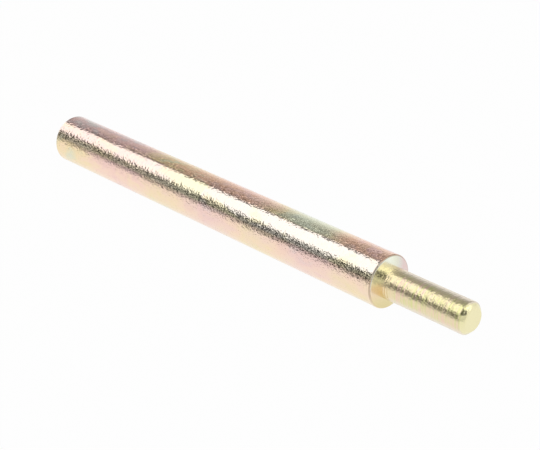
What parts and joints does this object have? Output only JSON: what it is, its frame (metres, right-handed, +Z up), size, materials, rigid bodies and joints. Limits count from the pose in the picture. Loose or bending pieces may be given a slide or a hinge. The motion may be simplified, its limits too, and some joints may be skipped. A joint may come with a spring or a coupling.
{
  "type": "anchor setting tool",
  "caption": "Round steel hand tool that sets drop-in anchors: a plain drive shank struck with a hammer and a thinner coaxial pin that drives the anchor's expansion plug home.",
  "frame": {"origin": "on the surface the tool lies on, under the middle of its length", "axes": "+X along the tool from its strike face towards its pin, +Z up"},
  "size_m": [0.09, 0.008, 0.008],
  "materials": {
    "shank_zinc": "yellow zinc plating with a passing pink, straw and green sheen over a finely pitted drawn bar",
    "pin_zinc": "straw yellow zinc plating over fine turning marks"
  },
  "bodies": {
    "root": {"drive_shank": "shank_zinc", "setting_pin": "pin_zinc"}
  },
  "joints": []
}
